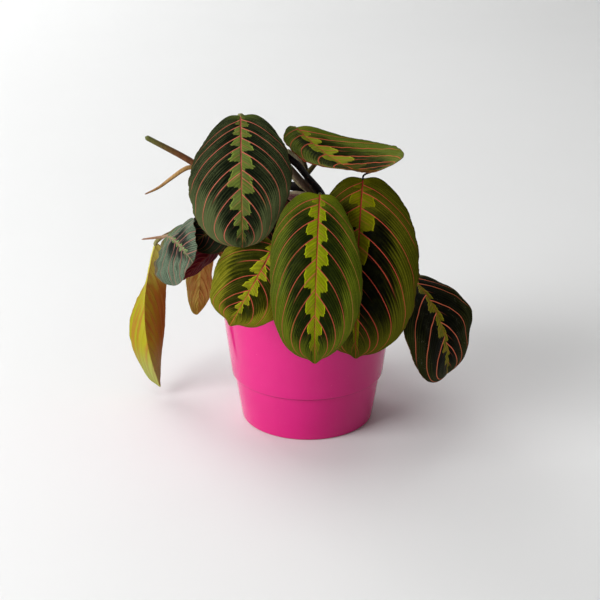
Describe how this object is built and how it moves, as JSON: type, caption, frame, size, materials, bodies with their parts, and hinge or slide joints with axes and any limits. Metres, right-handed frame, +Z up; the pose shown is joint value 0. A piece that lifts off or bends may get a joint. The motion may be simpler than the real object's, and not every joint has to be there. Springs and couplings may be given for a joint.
{
  "type": "potted prayer plant maranta",
  "caption": "Free-standing houseplant: broad drooping oval leaves with a toothed pale centre band and coral veins, on petioles in a soil-filled tapered glossy pot with a stepped base.",
  "frame": {"origin": "centre of the pot's flat underside, at the height it rests on", "axes": "+Z up along the pot's axis, -Y to the plant's front, X along the widest spread of the leaves"},
  "size_m": [0.2345, 0.1974, 0.2182],
  "materials": {
    "pot_plastic": "glossy moulded magenta plastic",
    "soil": "damp peaty potting soil with bark and white grit",
    "stem": "dark maroon-brown petioles, pale green swellings, dry tan spikes",
    "leaf_blue_green": "blue-green leaf, lime feather along the midrib, coral veins, dark blotches",
    "leaf_green": "yellow-green leaf, lime feather, coral veins, near-black blotches",
    "leaf_olive": "olive leaf, lime feather, coral veins, broad near-black blotches",
    "leaf_lime": "lime leaf, coral veins, dark green blotches",
    "leaf_black_green": "near-black leaf, narrow lime feather, coral veins",
    "leaf_yellow": "yellowing leaf with orange-brown streaks",
    "leaf_grey_green": "crinkled grey-green leaf, pale coral veins",
    "leaf_maroon": "dark maroon leaf underside"
  },
  "bodies": {
    "root": {"pot": "pot_plastic", "soil": "soil", "shoot_main": "stem", "shoot_left": "stem", "shoot_right": "stem", "shoot_back": "stem", "leaf_top_left": "leaf_blue_green", "leaf_top_right": "leaf_green", "leaf_front": "leaf_green", "leaf_front_right": "leaf_olive", "leaf_low_left": "leaf_lime", "leaf_low_right": "leaf_black_green", "leaf_folded": "leaf_yellow", "leaf_crinkled": "leaf_grey_green", "leaf_maroon": "leaf_maroon", "leaf_hanging": "leaf_yellow", "leaf_inner_left": "leaf_black_green", "leaf_inner_front": "leaf_black_green", "leaf_sprout": "leaf_maroon", "leaf_back_1": "leaf_blue_green", "leaf_back_2": "leaf_green", "leaf_back_3": "leaf_olive", "leaf_back_4": "leaf_lime", "leaf_back_5": "leaf_green", "leaf_back_6": "leaf_black_green"}
  },
  "joints": []
}
